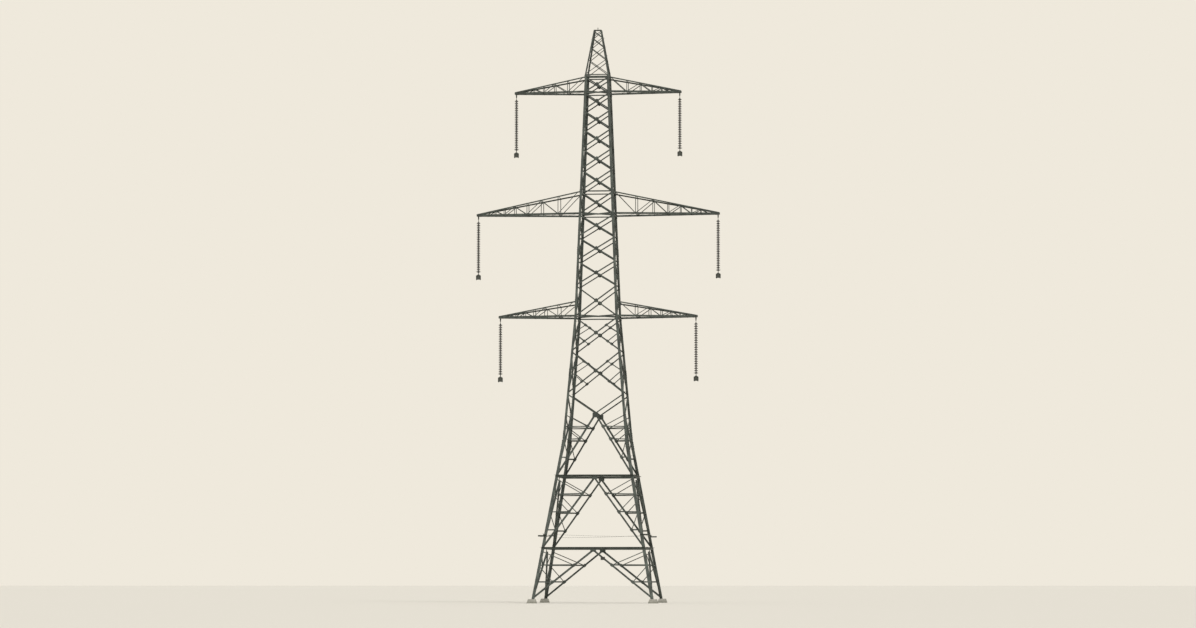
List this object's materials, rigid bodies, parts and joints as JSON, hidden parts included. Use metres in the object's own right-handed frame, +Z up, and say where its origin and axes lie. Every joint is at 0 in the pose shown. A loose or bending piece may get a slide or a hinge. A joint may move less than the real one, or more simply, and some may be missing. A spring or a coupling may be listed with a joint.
{
  "type": "lattice transmission pylon, 1:2 scale model",
  "caption": "Tall square lattice tower of steel angles with three pairs of tapering crossarms, hanging insulator strings with bundle clamps, and a narrow peak.",
  "frame": {"origin": "on the ground, midway between the four feet", "axes": "+Z up, X along the crossarms, Y along the line; the front face looks along -Y"},
  "size_m": [10.234, 5.3706, 23.99],
  "materials": {
    "weathered_steel": "matt, weathered grey-green paint over galvanised steel",
    "forged_fittings": "dull galvanised forgings",
    "glazed_porcelain": "dark brown glaze",
    "concrete": "pale weathered concrete",
    "dark_plate": "bare dark enamel"
  },
  "bodies": {
    "tower": {"concrete_muffs": "concrete", "lower_leg_front_right": "weathered_steel", "upper_leg_front_right": "weathered_steel", "lower_leg_back_right": "weathered_steel", "upper_leg_back_right": "weathered_steel", "lower_leg_back_left": "weathered_steel", "upper_leg_back_left": "weathered_steel", "lower_leg_front_left": "weathered_steel", "upper_leg_front_left": "weathered_steel", "lower_bracing_front": "weathered_steel", "lower_bracing_right": "weathered_steel", "lower_bracing_back": "weathered_steel", "lower_bracing_left": "weathered_steel", "lower_belt": "weathered_steel", "lower_plan_bracing": "weathered_steel", "upper_belt": "weathered_steel", "upper_plan_bracing": "weathered_steel", "fork_gussets": "weathered_steel", "waist_bracing_front": "weathered_steel", "cage_bracing_front": "weathered_steel", "waist_bracing_right": "weathered_steel", "cage_bracing_right": "weathered_steel", "waist_bracing_back": "weathered_steel", "cage_bracing_back": "weathered_steel", "waist_bracing_left": "weathered_steel", "cage_bracing_left": "weathered_steel", "arm_level_plan_bracing": "weathered_steel", "peak_frame": "weathered_steel", "earth_wire_clamp": "forged_fittings", "crossarm_top_right": "weathered_steel", "crossarm_top_left": "weathered_steel", "crossarm_middle_right": "weathered_steel", "crossarm_middle_left": "weathered_steel", "crossarm_bottom_right": "weathered_steel", "crossarm_bottom_left": "weathered_steel", "climbing_guard": "weathered_steel", "number_plate": "dark_plate"},
    "string_top_left": {"insulator_string_top_left": "glazed_porcelain", "string_fittings_top_left": "forged_fittings"},
    "string_top_right": {"insulator_string_top_right": "glazed_porcelain", "string_fittings_top_right": "forged_fittings"},
    "string_middle_left": {"insulator_string_middle_left": "glazed_porcelain", "string_fittings_middle_left": "forged_fittings"},
    "string_middle_right": {"insulator_string_middle_right": "glazed_porcelain", "string_fittings_middle_right": "forged_fittings"},
    "string_bottom_left": {"insulator_string_bottom_left": "glazed_porcelain", "string_fittings_bottom_left": "forged_fittings"},
    "string_bottom_right": {"insulator_string_bottom_right": "glazed_porcelain", "string_fittings_bottom_right": "forged_fittings"}
  },
  "joints": [
    {"name": "swing_top_left", "type": "hinge", "parent": "tower", "child": "string_top_left", "pos_m": [-3.425, 0, 21.145], "axis": [0, 1, 0], "range_deg": [-35, 35]},
    {"name": "swing_top_right", "type": "hinge", "parent": "tower", "child": "string_top_right", "pos_m": [3.425, 0, 21.145], "axis": [0, 1, 0], "range_deg": [-35, 35]},
    {"name": "swing_middle_left", "type": "hinge", "parent": "tower", "child": "string_middle_left", "pos_m": [-5.015, 0, 16.035], "axis": [0, 1, 0], "range_deg": [-35, 35]},
    {"name": "swing_middle_right", "type": "hinge", "parent": "tower", "child": "string_middle_right", "pos_m": [5.015, 0, 16.035], "axis": [0, 1, 0], "range_deg": [-35, 35]},
    {"name": "swing_bottom_left", "type": "hinge", "parent": "tower", "child": "string_bottom_left", "pos_m": [-4.085, 0, 11.76], "axis": [0, 1, 0], "range_deg": [-35, 35]},
    {"name": "swing_bottom_right", "type": "hinge", "parent": "tower", "child": "string_bottom_right", "pos_m": [4.085, 0, 11.76], "axis": [0, 1, 0], "range_deg": [-35, 35]}
  ]
}
